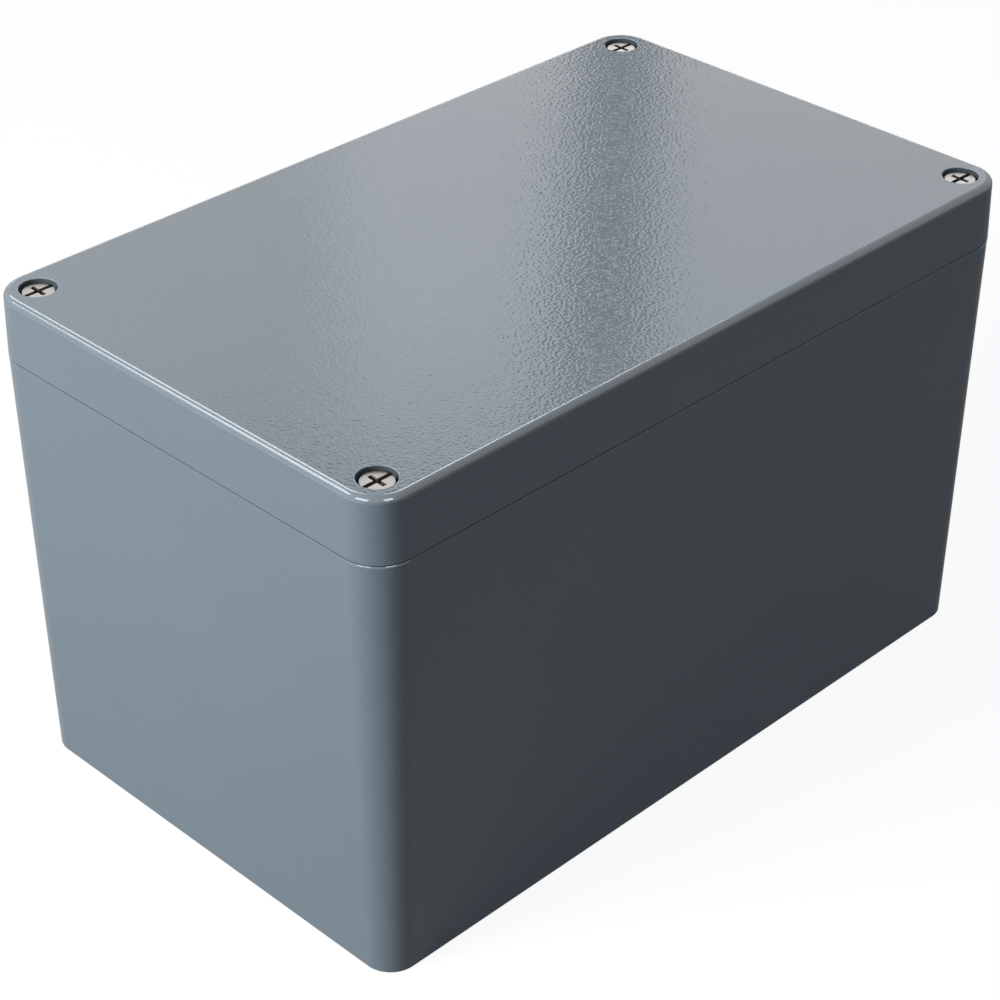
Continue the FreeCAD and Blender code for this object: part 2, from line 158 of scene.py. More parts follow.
def rounding(inset, height, radius, start, end):
    """Insets and heights along an arc about a centre; nought degrees faces outwards and 90 upwards."""
    steps = []
    for step in range(ARC_STEPS + 1):
        turn = start + (end - start) * step / ARC_STEPS
        steps.append((inset - radius * math.cos(turn), height + radius * math.sin(turn)))
    return steps


def wall_profile(low, high, start, draft, low_radius, high_radius, sweep=math.pi / 2):
    """Insets and heights up a wall that leans inwards by a draft, with both its edges rounded.

    The upper rounding turns by a sweep, which is less than a quarter where the rim cuts it short.
    """
    def lean(height):
        return start + (height - (low if draft > 0 else high)) * math.tan(draft)

    low_centre = (lean(low + low_radius) + low_radius / math.cos(draft), low + low_radius)
    high_centre = (lean(high - high_radius) + high_radius / math.cos(draft), high - high_radius)
    return (
        rounding(*low_centre, low_radius, -math.pi / 2, draft)
        + rounding(*high_centre, high_radius, draft, sweep)
    )


def loft(name, rings, hollow=False):
    """A closed mesh through rings of points; a hollow one joins its last ring to its first."""
    shape = bmesh.new()
    loops = [[shape.verts.new(point) for point in ring] for ring in rings]
    count = len(loops[0])
    pairs = list(zip(loops, loops[1:]))
    if hollow:
        pairs.append((loops[-1], loops[0]))
    else:
        shape.faces.new(loops[0][::-1])
        shape.faces.new(loops[-1])
    for lower, upper in pairs:
        for i in range(count):
            j = (i + 1) % count
            shape.faces.new((lower[i], lower[j], upper[j], upper[i]))
    bmesh.ops.recalc_face_normals(shape, faces=shape.faces)
    mesh = bpy.data.meshes.new(name)
    shape.to_mesh(mesh)
    shape.free()
    piece = bpy.data.objects.new(name, mesh)
    bpy.context.scene.collection.objects.link(piece)
    return piece


def turned(x, y, profile):
    """A closed mesh of revolution about an upright axis, through radii and heights."""
    return loft("turned", [circle(x, y, radius, height) for radius, height in profile])


def gather(pieces):
    """Join meshes that stand apart into one."""
    shape = bmesh.new()
    for piece in pieces:
        shape.from_mesh(piece.data)
    shape.to_mesh(pieces[0].data)
    shape.free()
    for piece in pieces[1:]:
        bpy.data.objects.remove(piece)
    return pieces[0]


def settle(piece):
    """Turn what the modifiers make into the piece's own plain mesh."""
    depsgraph = bpy.context.evaluated_depsgraph_get()
    mesh = bpy.data.meshes.new_from_object(piece.evaluated_get(depsgraph), depsgraph=depsgraph)
    piece.modifiers.clear()
    piece.data = mesh


def combine(piece, other, operation):
    """Cut another closed mesh out of a piece or join it on, and use the other one up."""
    step = piece.modifiers.new("combine", "BOOLEAN")
    step.operation = operation
    step.solver = "EXACT"
    step.object = other
    settle(piece)
    bpy.data.objects.remove(other)


def shade(piece, sharp_over):
    """Shade smoothly up to an angle between faces, with flat faces kept flat beside their roundings."""
    shape = bmesh.new()
    shape.from_mesh(piece.data)
    bmesh.ops.remove_doubles(shape, verts=shape.verts, dist=WELD_DISTANCE)
    for face in shape.faces:
        face.smooth = True
    for edge in shape.edges:
        edge.smooth = len(edge.link_faces) == 2 and edge.calc_face_angle() < sharp_over
    shape.to_mesh(piece.data)
    shape.free()
    weighting = piece.modifiers.new("flat_faces", "WEIGHTED_NORMAL")
    weighting.keep_sharp = True
    weighting.weight = FLAT_FACE_WEIGHT


rim = PARTING - RIM_GROOVE_HEIGHT
side_profile = wall_profile(
    base_low.z,
    rim + RIM_EDGE_RADIUS * (1 - math.sin(RIM_EDGE_SWEEP)),
    RIM_STEP,
    -BASE_DRAFT,
    FOOT_EDGE_RADIUS,
    RIM_EDGE_RADIUS,
    RIM_EDGE_SWEEP,
)
side_profile += [(RIM_GROOVE_DEPTH, rim), (RIM_GROOVE_DEPTH, PARTING)]
base = loft("base_casting", [rectangle(inset, height) for inset, height in side_profile])
floor_centre = FLOOR_THICKNESS + INSIDE_RADIUS
floor_inset = (PARTING - floor_centre) * math.tan(CORE_DRAFT) + INSIDE_RADIUS
floor_arc = rounding(floor_inset, floor_centre, INSIDE_RADIUS, -math.pi / 2, 0)
hollow_profile = floor_arc + [(-OVERCUT * math.tan(CORE_DRAFT), PARTING + OVERCUT)]
cutters = [loft("hollow", [cross(inset, height) for inset, height in hollow_profile])]
for sx, sy in SIDES:
    cutters.append(
        turned(
            sx * SCREW_X,
            sy * SCREW_Y,
            [(THREAD_RADIUS, PARTING - TAPPED_DEPTH), (THREAD_RADIUS, PARTING + OVERCUT)],
        )
    )
    cutters.append(
        turned(
            sx * FIXING_X,
            sy * FIXING_Y,
            [
                (FIXING_HOLE_RADIUS, base_low.z - OVERCUT),
                (FIXING_HOLE_RADIUS, FIXING_SEAT),
                (CHANNEL_RADIUS, FIXING_SEAT),
                (CHANNEL_RADIUS, PARTING + OVERCUT),
            ],
        )
    )
combine(base, gather(cutters), "DIFFERENCE")

tongue_out, tongue_in = -(WALL + TONGUE_WIDTH) / 2, -(WALL - TONGUE_WIDTH) / 2
additions = [
    loft(
        "tongue",
        [
            cross(tongue_out, PARTING - OVERCUT),
            cross(tongue_out, PARTING + TONGUE_HEIGHT),
            cross(tongue_in, PARTING + TONGUE_HEIGHT),
            cross(tongue_in, PARTING - OVERCUT),
        ],
        hollow=True,
    )
]
bosses = [(sx * PLATE_X, sy * PLATE_Y, BOSS_RADIUS, BOSS_HEIGHT) for sx, sy in SIDES]
bosses.append((-EARTH_X, 0, EARTH_BOSS_RADIUS, EARTH_BOSS_HEIGHT))
for x, y, radius, rise in bosses:
    foot, top = FLOOR_THICKNESS - OVERCUT, FLOOR_THICKNESS + rise
    additions.append(turned(x, y, [(radius, foot), (radius, top)]))
combine(base, gather(additions), "UNION")
holes = []
for x, y, radius, rise in bosses:
    top = FLOOR_THICKNESS + rise
    hole, depth = (THREAD_RADIUS, EARTH_HOLE_DEPTH) if y == 0 else (PLATE_HOLE_RADIUS, PLATE_HOLE_DEPTH)
    holes.append(turned(x, y, [(hole, top - depth), (hole, top + OVERCUT)]))
combine(base, gather(holes), "DIFFERENCE")
shade(base, SHARP_OVER)


def hex_colour(code):
    """A colour written in sRGB hexadecimal, as the linear values that the shaders take."""
    channels = [int(code[i:i + 2], 16) / 255 for i in (1, 3, 5)]
    linear = [c / 12.92 if c <= 0.04045 else ((c + 0.055) / 1.055) ** 2.4 for c in channels]
    return (*linear, 1.0)


def add(tree, kind, settings=(), **inputs):
    """Add a node with its settings; an input is a value or another node's output, by its plain name."""
    node = tree.nodes.new(kind)
    for name, setting in dict(settings).items():
        setattr(node, name, setting)
    for name, given in inputs.items():
        plain = name.replace("_", " ").lower()
        socket = next(s for s in node.inputs if s.name.lower() == plain and s.enabled)
        if isinstance(given, bpy.types.NodeSocket):
            tree.links.new(given, socket)
        else:
            socket.default_value = given
    return node


def new_material(name):
    """A material with an empty node tree, its output and its tree."""
    material = bpy.data.materials.new(name)
    material.use_nodes = True
    material.node_tree.nodes.clear()
    return material, material.node_tree, material.node_tree.nodes.new("ShaderNodeOutputMaterial")


# Polyester powder coat on cast aluminium: sprayed as dry powder and baked, which leaves a glossy skin
# with the fine pimples that are called orange peel, and slight waves over the casting beneath. The eye
# sees speckled reflections in it, which are set fainter than such a coat's own to match the photograph.
# Pimples about 0.7 mm wide are drawn a little coarser, because finer ones are lost in the render.
COAT_COLOUR = "#82929E"
COAT_SHADE = "#7E8E9A"
COAT_TINT_SIZE = 0.035
PEEL_SIZE = 0.00095
PEEL_HEIGHT = 0.000035
WAVE_SIZE = 0.009
WAVE_HEIGHT = 0.000012
ROUNDED_FROM, ROUNDED_TO = 0.03, 0.10
PEEL_ON_ROUNDINGS = 0.12


def coat_colour(tree, place):
    """The coat's colour, which drifts a little between two shades."""
    tint = add(tree, "ShaderNodeTexNoise", Vector=place, Scale=1 / COAT_TINT_SIZE, Detail=3.0)
    colour = add(
        tree,
        "ShaderNodeMixRGB",
        Fac=tint.outputs["Fac"],
        Color1=hex_colour(COAT_SHADE),
        Color2=hex_colour(COAT_COLOUR),
    )
    return colour.outputs["Color"]


def coat_waves(tree, place):
    """Normals of the waves that the casting beneath gives the coat."""
    waves = add(tree, "ShaderNodeTexNoise", Vector=place, Scale=1 / WAVE_SIZE, Detail=1.0)
    wavy = add(tree, "ShaderNodeBump", Height=waves.outputs["Fac"], Distance=WAVE_HEIGHT, Strength=1.0)
    return wavy.outputs["Normal"]


powder_coat, tree, output = new_material("powder_coat_silver_grey")
place = add(tree, "ShaderNodeTexCoord").outputs["Object"]
peel = add(tree, "ShaderNodeTexNoise", Vector=place, Scale=1 / PEEL_SIZE, Detail=0.0)
# The peel fades on narrow roundings. Those are the faces that are neither level nor upright, so their
# normal's height is far from both nought and one, and ping-pong folds the two ends onto each other.
facing = add(tree, "ShaderNodeNewGeometry").outputs["Normal"]
rise = add(tree, "ShaderNodeSeparateXYZ", Vector=facing)
steep = add(tree, "ShaderNodeMath", settings={"operation": "ABSOLUTE"})
tree.links.new(rise.outputs["Z"], steep.inputs[0])
slant = add(tree, "ShaderNodeMath", settings={"operation": "PINGPONG"})
tree.links.new(steep.outputs[0], slant.inputs[0])
slant.inputs[1].default_value = 0.5
relief = add(
    tree,
    "ShaderNodeMapRange",
    Value=slant.outputs[0],
    From_Min=ROUNDED_FROM,
    From_Max=ROUNDED_TO,
    To_Min=1.0,
    To_Max=PEEL_ON_ROUNDINGS,
)
skin = add(
    tree,
    "ShaderNodeBump",
    Height=peel.outputs["Fac"],
    Distance=PEEL_HEIGHT,
    Strength=relief.outputs["Result"],
    Normal=coat_waves(tree, place),
)
sheen = add(tree, "ShaderNodeMapRange", Value=peel.outputs["Fac"], To_Min=0.06, To_Max=0.08)
surface = add(
    tree,
    "ShaderNodeBsdfPrincipled",
    Base_Color=coat_colour(tree, place),
    Roughness=sheen.outputs["Result"],
    Specular_IOR_Level=0.14,
    Normal=skin.outputs["Normal"],
)
tree.links.new(surface.outputs["BSDF"], output.inputs["Surface"])

# The same coat on the outer edges: the melted powder draws back from an edge and lies thin and smooth
# there, so an edge has no pimples. It is drawn shinier than the faces, which the real coat need not be,
# so that weak cards are enough for its fine bright lines.
edge_coat, tree, output = new_material("powder_coat_on_edges")
place = add(tree, "ShaderNodeTexCoord").outputs["Object"]
surface = add(
    tree,
    "ShaderNodeBsdfPrincipled",
    Base_Color=coat_colour(tree, place),
    Roughness=0.08,
    Specular_IOR_Level=1.0,
    Normal=coat_waves(tree, place),
)
tree.links.new(surface.outputs["BSDF"], output.inputs["Surface"])

# A slanting face is one whose normal's height lies between these two
LEAST_SLANT, MOST_SLANT = 0.06, 0.99


def coat_edges(piece, low, high, corners_only=False):
    """Give the slanting faces between two heights, on a rounded outer edge, the edge's coat."""
    for face in piece.data.polygons:
        slanting = LEAST_SLANT < abs(face.normal.z) < MOST_SLANT
        middle = face.center
        past_x = abs(middle.x) > HALF_LENGTH - CORNER_RADIUS
        past_y = abs(middle.y) > HALF_WIDTH - CORNER_RADIUS
        if slanting and low < middle.z < high and (past_x and past_y or not corners_only):
            face.material_index = 1


base.data.materials.append(powder_coat)
base.data.materials.append(edge_coat)
coat_edges(base, rim - RIM_EDGE_RADIUS, rim, corners_only=True)
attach(base, "root")
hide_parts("base")

# Lid casting: a shallow cap of the same cast and coated aluminium, narrower upwards, with a round top
# edge. Four recesses take the screw heads, and a groove round the hollow holds the seal. It is set on
# the base's rim and drawn down by the corner screws.
LID_DRAFT = math.radians(1.2)
LID_TOP_RADIUS = 0.0020
LID_FOOT_RADIUS = 0.0003
LID_THICKNESS = 0.004
SEAL_WIDTH = 0.0032
GROOVE_DEPTH = 0.0039
RECESS_RADIUS = 0.0055
RECESS_DEPTH = 0.0055
RECESS_EDGE_RADIUS = 0.0002
CLEARANCE_RADIUS = 0.0033
RING_POCKET_RADIUS = 0.00535
RING_POCKET_DEPTH = 0.0016
LID_TOP = lid_high.z
# A face this near a bound still counts as inside it
TOUCH = 1e-5
lid = loft(
    "lid_casting",
    [
        rectangle(inset, height)
        for inset, height in wall_profile(PARTING, LID_TOP, 0, LID_DRAFT, LID_FOOT_RADIUS, LID_TOP_RADIUS)
    ],
)
roof = LID_TOP - LID_THICKNESS
roof_centre = roof - INSIDE_RADIUS
roof_inset = (roof_centre - PARTING) * math.tan(CORE_DRAFT) + INSIDE_RADIUS
roof_arc = rounding(roof_inset, roof_centre, INSIDE_RADIUS, 0, math.pi / 2)
roof_profile = [(-OVERCUT * math.tan(CORE_DRAFT), PARTING - OVERCUT)] + roof_arc
groove_out, groove_in = -(WALL + SEAL_WIDTH) / 2, -(WALL - SEAL_WIDTH) / 2
cutters = [
    loft("lid_hollow", [cross(inset, height) for inset, height in roof_profile]),
    loft(
        "groove",
        [
            cross(groove_out, PARTING - OVERCUT),
            cross(groove_out, PARTING + GROOVE_DEPTH),
            cross(groove_in, PARTING + GROOVE_DEPTH),
            cross(groove_in, PARTING - OVERCUT),
        ],
        hollow=True,
    ),
]
edge_arc = rounding(
    RECESS_RADIUS + RECESS_EDGE_RADIUS, LID_TOP - RECESS_EDGE_RADIUS, RECESS_EDGE_RADIUS, 0, math.pi / 2
)
passage = [
    (RING_POCKET_RADIUS, PARTING - OVERCUT),
    (RING_POCKET_RADIUS, PARTING + RING_POCKET_DEPTH),
    (CLEARANCE_RADIUS, PARTING + RING_POCKET_DEPTH),
    (CLEARANCE_RADIUS, LID_TOP - RECESS_DEPTH),
    (RECESS_RADIUS, LID_TOP - RECESS_DEPTH),
    *edge_arc,
    (RECESS_RADIUS + RECESS_EDGE_RADIUS, LID_TOP + OVERCUT),
]
for sx, sy in SIDES:
    cutters.append(turned(sx * SCREW_X, sy * SCREW_Y, passage))
combine(lid, gather(cutters), "DIFFERENCE")
earth_seat = roof - EARTH_BOSS_HEIGHT
combine(
    lid,
    turned(EARTH_X, 0, [(EARTH_BOSS_RADIUS, earth_seat), (EARTH_BOSS_RADIUS, roof + OVERCUT)]),
    "UNION",
)
combine(
    lid,
    turned(
        EARTH_X,
        0,
        [(THREAD_RADIUS, earth_seat - OVERCUT), (THREAD_RADIUS, earth_seat + EARTH_HOLE_DEPTH)],
    ),
    "DIFFERENCE",
)
shade(lid, SHARP_OVER)

# The recess walls are painted dark grey, as painted shade that stands in for the shade in the recesses,
# with a fine grain
CAST_GRAIN_SIZE = 0.0005
masked_casting, tree, output = new_material("masked_casting")
place = add(tree, "ShaderNodeTexCoord").outputs["Object"]
grain = add(tree, "ShaderNodeTexNoise", Vector=place, Scale=1 / CAST_GRAIN_SIZE, Detail=2.0)
tone = add(
    tree,
    "ShaderNodeMixRGB",
    Fac=grain.outputs["Fac"],
    Color1=hex_colour("#4E555B"),
    Color2=hex_colour("#5C646A"),
)
surface = add(
    tree,
    "ShaderNodeBsdfPrincipled",
    Base_Color=tone.outputs["Color"],
    Roughness=0.5,
    Specular_IOR_Level=0.2,
)
tree.links.new(surface.outputs["BSDF"], output.inputs["Surface"])
lid.data.materials.append(powder_coat)
lid.data.materials.append(edge_coat)
lid.data.materials.append(masked_casting)
# Recess wall faces below the rounded edge take the painted recess shade
for face in lid.data.polygons:
    off_axis = math.hypot(abs(face.center.x) - SCREW_X, abs(face.center.y) - SCREW_Y)
    depth = LID_TOP - face.center.z
    in_recess = off_axis < RECESS_RADIUS + TOUCH and RECESS_EDGE_RADIUS < depth < RECESS_DEPTH + TOUCH
    face.material_index = 2 if in_recess else 0
coat_edges(lid, LID_TOP - LID_TOP_RADIUS, LID_TOP - 2 * RECESS_EDGE_RADIUS * (1 - MOST_SLANT))
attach(lid, "root")
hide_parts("lid")

# Lid screws: M6 cheese head screws of stainless steel, turned, with a rolled thread. A slot is pressed
# across the whole head, with a shorter cross arm. Each drops into its recess in a corner of the lid.
HEAD_RADIUS = 0.0047
HEAD_HEIGHT = 0.0044
HEAD_EDGE_RADIUS = 0.00022
SHANK_RADIUS = 0.0023
SCREW_LENGTH = 0.035
THREAD_LENGTH = 0.017
THREAD_PITCH = 0.001
THREAD_CREST = THREAD_RADIUS - 0.00005
THREAD_ROOT = 0.0023
SLOT_WIDTH = 0.0014
SLOT_DEPTH = 0.0018
CROSS_LENGTH = 0.006
CROSS_DEPTH = 0.0026
DRIVE_TURN = math.radians(-1)
head_arc = rounding(0, HEAD_HEIGHT - HEAD_EDGE_RADIUS, HEAD_EDGE_RADIUS, math.pi, math.pi / 2)
profile = [(THREAD_ROOT, -SCREW_LENGTH)]
for turn in range(round(THREAD_LENGTH / THREAD_PITCH)):
    foot = -SCREW_LENGTH + turn * THREAD_PITCH
    profile += [(THREAD_CREST, foot + THREAD_PITCH / 2), (THREAD_ROOT, foot + THREAD_PITCH)]
shank_foot = -SCREW_LENGTH + THREAD_LENGTH + THREAD_PITCH / 2
profile += [(SHANK_RADIUS, shank_foot), (SHANK_RADIUS, 0), (HEAD_RADIUS, 0)]
profile += [(HEAD_RADIUS - HEAD_EDGE_RADIUS + rise, height) for rise, height in head_arc]
screw = turned(0, 0, profile)
screw.name = "lid_screw_blank"
for half_x, half_y, depth in (
    (HEAD_RADIUS + OVERCUT, SLOT_WIDTH / 2, SLOT_DEPTH),
    (SLOT_WIDTH / 2, CROSS_LENGTH / 2, CROSS_DEPTH),
):
    rings = []
    for height in (HEAD_HEIGHT - depth, HEAD_HEIGHT + OVERCUT):
        rings.append([Vector((sx * half_x, sy * half_y, height)) for sx, sy in SIDES])
    combine(screw, loft("slot_cutter", rings), "DIFFERENCE")
# Drive faces for the painted shade: those below the head's top that are level or stand inside its side
WITHIN_SIDE = 0.96 * HEAD_RADIUS
in_slot = screw.data.attributes.new("in_slot", "BOOLEAN", "FACE")
for face in screw.data.polygons:
    below_top = HEAD_HEIGHT - CROSS_DEPTH - TOUCH < face.center.z < HEAD_HEIGHT - TOUCH
    off_side = abs(face.normal.z) > 0.9 or face.center.xy.length < WITHIN_SIDE
    in_slot.data[face.index].value = below_top and off_side

# Bright stainless steel, turned and then tumbled to take the burrs off: a satin metal with a fine grain
STEEL_GRAIN_SIZE = 0.0004
STEEL_GRAIN_HEIGHT = 0.000004
turned_steel, tree, output = new_material("turned_stainless_steel")
place = add(tree, "ShaderNodeTexCoord").outputs["Object"]
grain = add(tree, "ShaderNodeTexNoise", Vector=place, Scale=1 / STEEL_GRAIN_SIZE, Detail=2.0)
marks = add(
    tree, "ShaderNodeBump", Height=grain.outputs["Fac"], Distance=STEEL_GRAIN_HEIGHT, Strength=1.0
)
tone = add(
    tree,
    "ShaderNodeMixRGB",
    Fac=grain.outputs["Fac"],
    Color1=hex_colour("#989695"),
    Color2=hex_colour("#A09E9D"),
)
surface = add(
    tree,
    "ShaderNodeBsdfPrincipled",
    Base_Color=tone.outputs["Color"],
    Metallic=1.0,
    Roughness=0.42,
    Normal=marks.outputs["Normal"],
)
tree.links.new(surface.outputs["BSDF"], output.inputs["Surface"])

# The drive's faces are painted a dull, cloudy brown-grey, as painted shade inside the slot and the cross
# arm
SKIN_CLOUD_SIZE = 0.0006
pickled_steel, tree, output = new_material("pickled_steel")
place = add(tree, "ShaderNodeTexCoord").outputs["Object"]
grain = add(tree, "ShaderNodeTexNoise", Vector=place, Scale=1 / SKIN_CLOUD_SIZE, Detail=2.0)
tone = add(
    tree,
    "ShaderNodeMixRGB",
    Fac=grain.outputs["Fac"],
    Color1=hex_colour("#5E554E"),
    Color2=hex_colour("#7A7068"),
)
surface = add(
    tree,
    "ShaderNodeBsdfPrincipled",
    Base_Color=tone.outputs["Color"],
    Roughness=0.55,
    Specular_IOR_Level=0.2,
)
tree.links.new(surface.outputs["BSDF"], output.inputs["Surface"])

# One screw is set in each corner of a two by two grid
screw_tree = bpy.data.node_groups.new("screws_at_corners", "GeometryNodeTree")
sockets = screw_tree.interface
sockets.new_socket("Screw", in_out="INPUT", socket_type="NodeSocketObject")
for size in ("Spacing X", "Spacing Y", "Seat Height", "Drive Turn"):
    sockets.new_socket(size, in_out="INPUT", socket_type="NodeSocketFloat")
sockets.new_socket("Geometry", in_out="OUTPUT", socket_type="NodeSocketGeometry")
given = add(screw_tree, "NodeGroupInput").outputs
corners = add(
    screw_tree,
    "GeometryNodeMeshGrid",
    Size_X=given["Spacing X"],
    Size_Y=given["Spacing Y"],
    Vertices_X=2,
    Vertices_Y=2,
)
seat = add(screw_tree, "ShaderNodeCombineXYZ", Z=given["Seat Height"])
raised = add(
    screw_tree,
    "GeometryNodeSetPosition",
    Geometry=corners.outputs["Mesh"],
    Offset=seat.outputs["Vector"],
)
turn = add(screw_tree, "ShaderNodeCombineXYZ", Z=given["Drive Turn"])
single = add(screw_tree, "GeometryNodeObjectInfo", Object=given["Screw"])
copies = add(
    screw_tree,
    "GeometryNodeInstanceOnPoints",
    Points=raised.outputs["Geometry"],
    Instance=single.outputs["Geometry"],
    Rotation=turn.outputs["Vector"],
)
real = add(screw_tree, "GeometryNodeRealizeInstances", Geometry=copies.outputs["Instances"])
steel = add(
    screw_tree, "GeometryNodeSetMaterial", Geometry=real.outputs["Geometry"], Material=turned_steel
)
# The marked drive faces take the painted slot shade
slots = add(
    screw_tree, "GeometryNodeInputNamedAttribute", settings={"data_type": "BOOLEAN"}, Name="in_slot"
)
dark = add(
    screw_tree,
    "GeometryNodeSetMaterial",
    Geometry=steel.outputs["Geometry"],
    Selection=slots.outputs["Attribute"],
    Material=pickled_steel,
)
out = screw_tree.nodes.new("NodeGroupOutput")
screw_tree.links.new(dark.outputs["Geometry"], out.inputs["Geometry"])

lid_screws = bpy.data.objects.new("lid_screws", bpy.data.meshes.new("lid_screws"))
bpy.context.scene.collection.objects.link(lid_screws)
maker = lid_screws.modifiers.new("corners", "NODES")
maker.node_group = screw_tree
sizes = {
    "Screw": screw,
    "Spacing X": 2 * SCREW_X,
    "Spacing Y": 2 * SCREW_Y,
    "Seat Height": LID_TOP - RECESS_DEPTH,
    "Drive Turn": DRIVE_TURN,
}
for item in sockets.items_tree:
    if item.in_out == "INPUT":
        maker[item.identifier] = sizes[item.name]
settle(lid_screws)
bpy.data.objects.remove(screw)
shade(lid_screws, SHARP_OVER)
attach(lid_screws, "root")
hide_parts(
    "lid_screw_front_left",
    "lid_screw_front_right",
    "lid_screw_back_left",
    "lid_screw_back_right",
)

# Seal: a ring of black moulded rubber that lies in the lid's groove and is pressed by the base's tongue.
# Its skin is dull, with the cloudy bloom and the fine pores that moulded rubber gets.
BLOOM_SIZE = 0.004
PORE_SIZE = 0.0005
PORE_DEPTH = 0.00002


def dress(names, material):
    """Give CAD nodes their material."""
    for name in names:
        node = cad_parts[name]
        node.data.materials.clear()
        node.data.materials.append(material)


seal_rubber, tree, output = new_material("moulded_black_rubber")
place = add(tree, "ShaderNodeTexCoord").outputs["Object"]
bloom = add(tree, "ShaderNodeTexNoise", Vector=place, Scale=1 / BLOOM_SIZE, Detail=3.0)
tone = add(
    tree,
    "ShaderNodeMixRGB",
    Fac=bloom.outputs["Fac"],
    Color1=hex_colour("#1C1C1D"),
    Color2=hex_colour("#2A2B2C"),
)
pores = add(tree, "ShaderNodeTexNoise", Vector=place, Scale=1 / PORE_SIZE, Detail=2.0)
skin = add(tree, "ShaderNodeBump", Height=pores.outputs["Fac"], Distance=PORE_DEPTH, Strength=1.0)
surface = add(
    tree,
    "ShaderNodeBsdfPrincipled",
    Base_Color=tone.outputs["Color"],
    Roughness=0.7,
    Normal=skin.outputs["Normal"],
)
tree.links.new(surface.outputs["BSDF"], output.inputs["Surface"])
dress(["lid_seal"], seal_rubber)

# Retaining rings: white nylon washers pushed over the screw shanks under the lid, which keep the screws
# in the lid when it is off. Moulded nylon is a warm, faintly cloudy white with a soft satin skin.
CLOUD_SIZE = 0.003
ring_nylon, tree, output = new_material("natural_nylon")
place = add(tree, "ShaderNodeTexCoord").outputs["Object"]
cloud = add(tree, "ShaderNodeTexNoise", Vector=place, Scale=1 / CLOUD_SIZE, Detail=2.0)
tone = add(
    tree,
    "ShaderNodeMixRGB",
    Fac=cloud.outputs["Fac"],
    Color1=hex_colour("#E2DECF"),
    Color2=hex_colour("#EDEADF"),
)
surface = add(
    tree, "ShaderNodeBsdfPrincipled", Base_Color=tone.outputs["Color"], Roughness=0.45, IOR=1.53
)
tree.links.new(surface.outputs["BSDF"], output.inputs["Surface"])
CORNER_NAMES = ("front_left", "front_right", "back_left", "back_right")
dress(["screw_ring_" + corner for corner in CORNER_NAMES], ring_nylon)

# Earth terminals: a brass clamp plate, a spring washer and a brass screw on a boss in each casting, for
# the protective earth wire. Plain brass, turned and stamped, dulled in patches by the air.
DULL_PATCH_SIZE = 0.002
terminal_brass, tree, output = new_material("dulled_brass")
place = add(tree, "ShaderNodeTexCoord").outputs["Object"]
dulling = add(tree, "ShaderNodeTexNoise", Vector=place, Scale=1 / DULL_PATCH_SIZE, Detail=4.0)
tone = add(
    tree,
    "ShaderNodeMixRGB",
    Fac=dulling.outputs["Fac"],
    Color1=hex_colour("#B59A58"),
    Color2=hex_colour("#D2B872"),
)
gloss = add(tree, "ShaderNodeMapRange", Value=dulling.outputs["Fac"], To_Min=0.3, To_Max=0.42)
surface = add(
    tree,
    "ShaderNodeBsdfPrincipled",
    Base_Color=tone.outputs["Color"],
    Metallic=1.0,
    Roughness=gloss.outputs["Result"],
)
tree.links.new(surface.outputs["BSDF"], output.inputs["Surface"])
for casting in ("base", "lid"):
    dress([f"{casting}_earth_{part}" for part in ("clamp", "spring_washer", "screw")], terminal_brass)

# Floor and background: a plain pale floor that runs to a white sky, both white to the camera. Mirrored in
# the object, the floor is a pale matt one in the same light. Neither throws much light back, so that the
# side away from the key lamp stays dark.
FLOOR_SIZE = 60.0
FLOOR_DROP = 0.0002
SHADOW_SHARE = 0.2
FLOOR_GLOW = 0.9
BOUNCE_COLOUR = "#3A3A3A"
MIRRORED_COLOUR = "#FAF4F0"
AMBIENT = 0.29


def seen(tree, rays):
    """One for the kinds of rays that are named, and nought for all others."""
    path = add(tree, "ShaderNodeLightPath").outputs
    share = path[rays[0]]
    for kind in rays[1:]:
        either = add(tree, "ShaderNodeMath", settings={"operation": "MAXIMUM"})
        tree.links.new(share, either.inputs[0])
        tree.links.new(path[kind], either.inputs[1])
        share = either.outputs[0]
    return share


def blend_shaders(tree, share, first, second):
    """Mix two shaders by a share."""
    mix = tree.nodes.new("ShaderNodeMixShader")
    tree.links.new(share, mix.inputs[0])
    tree.links.new(first, mix.inputs[1])
    tree.links.new(second, mix.inputs[2])
    return mix.outputs[0]


pale_floor, tree, output = new_material("pale_studio_floor")
pale_floor.cycles.emission_sampling = "NONE"
glow = add(tree, "ShaderNodeEmission", Color=hex_colour("#FFFFFF"), Strength=FLOOR_GLOW)
shadow_catch = add(tree, "ShaderNodeBsdfDiffuse", Color=(SHADOW_SHARE,) * 3 + (1.0,))
both = tree.nodes.new("ShaderNodeAddShader")
tree.links.new(glow.outputs[0], both.inputs[0])
tree.links.new(shadow_catch.outputs[0], both.inputs[1])
bounce_colour = add(
    tree,
    "ShaderNodeMixRGB",
    Fac=seen(tree, ["Is Glossy Ray"]),
    Color1=hex_colour(BOUNCE_COLOUR),
    Color2=hex_colour(MIRRORED_COLOUR),
)
bounce = add(tree, "ShaderNodeBsdfDiffuse", Color=bounce_colour.outputs["Color"])
in_view = seen(tree, ["Is Camera Ray", "Is Transmission Ray"])
shown = blend_shaders(tree, in_view, bounce.outputs[0], both.outputs[0])
tree.links.new(shown, output.inputs["Surface"])
bpy.ops.mesh.primitive_plane_add(size=FLOOR_SIZE, location=(0, 0, -FLOOR_DROP))
studio_floor = bpy.context.object
studio_floor.name = "studio_floor"
studio_floor.data.materials.append(pale_floor)

